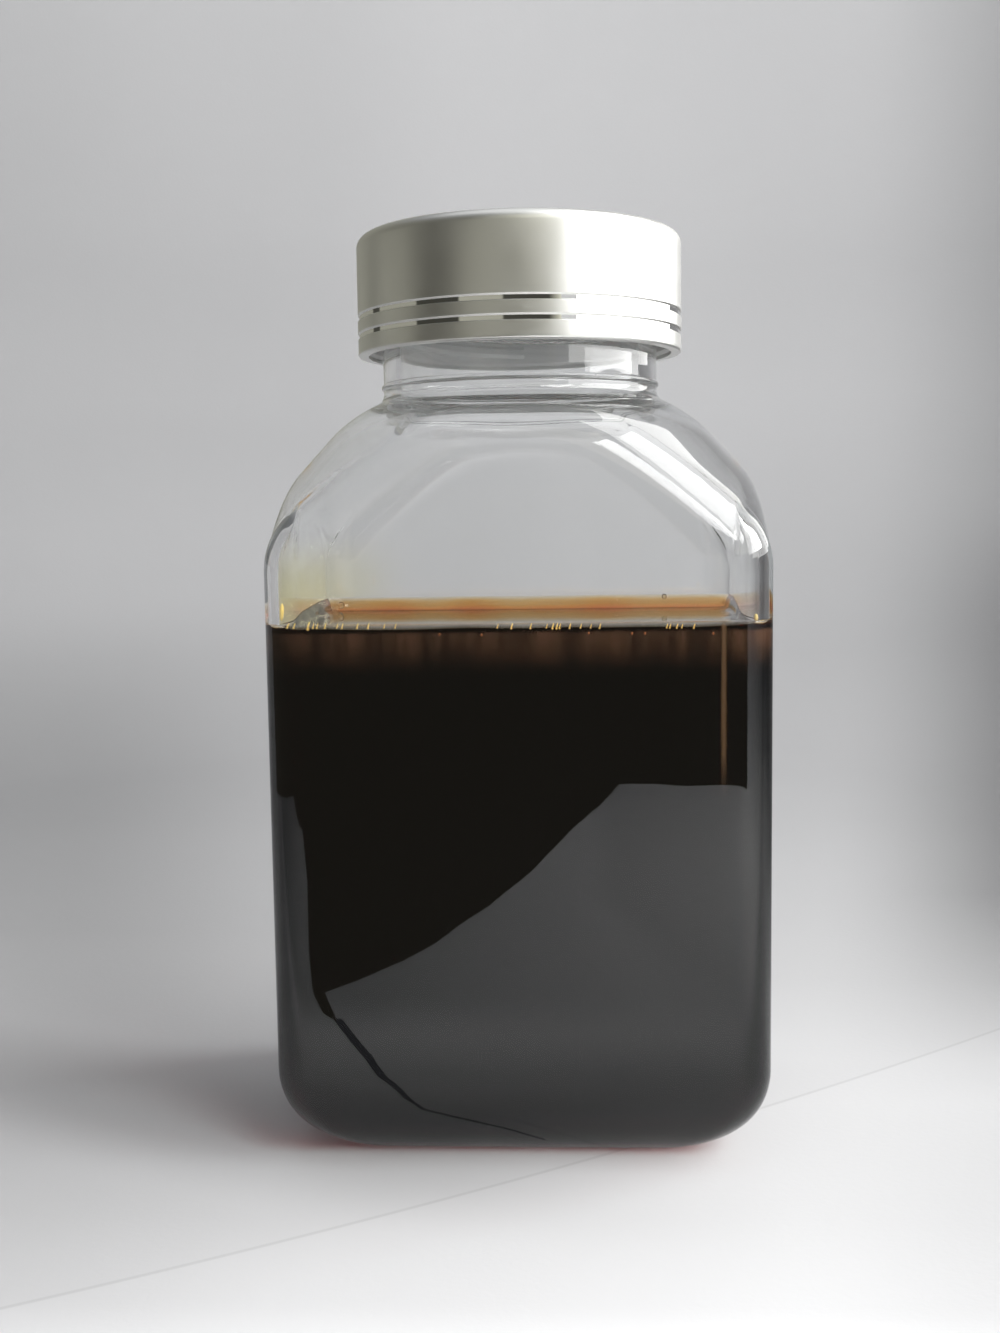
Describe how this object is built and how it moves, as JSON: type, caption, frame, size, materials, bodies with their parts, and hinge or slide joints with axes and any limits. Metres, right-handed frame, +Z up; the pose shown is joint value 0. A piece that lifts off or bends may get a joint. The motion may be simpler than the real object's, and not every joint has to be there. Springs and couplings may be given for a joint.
{
  "type": "oil additive bottle",
  "caption": "Clear rectangular bottle with a domed shoulder, part filled with dark oil, closed by a satin metal screw cap.",
  "frame": {"origin": "centre of the base, on the standing plane", "axes": "+Z up through the neck, -Y out of the front panel, +X to the right of the front view"},
  "size_m": [0.0654, 0.05, 0.1243],
  "materials": {
    "clear_bottle": "clear, glossy blow-moulded wall",
    "dark_oil": "dark brown oil, orange where it is thin",
    "satin_metal": "satin anodised, with two bright cut lines",
    "inner_cap": "moulded, plain",
    "liner_foam": "soft foam disc"
  },
  "bodies": {
    "bottle_body": {"bottle": "clear_bottle", "oil": "dark_oil"},
    "seal": {"cap_liner": "liner_foam"},
    "cap": {"cap_shell": "satin_metal", "cap_insert": "inner_cap"}
  },
  "joints": [
    {"name": "cap_lift", "type": "slide", "parent": "bottle_body", "child": "seal", "axis": [0, 0, 1], "range_m": [0, 0.0149]},
    {"name": "cap_turn", "type": "hinge", "parent": "seal", "child": "cap", "pos_m": [0, 0, 0.115], "axis": [0, 0, 1], "range_deg": [0, 1260]}
  ],
  "couplings": [
    {"joint": "cap_lift", "follows": "cap_turn", "m_per_rad": 0.00067322}
  ]
}
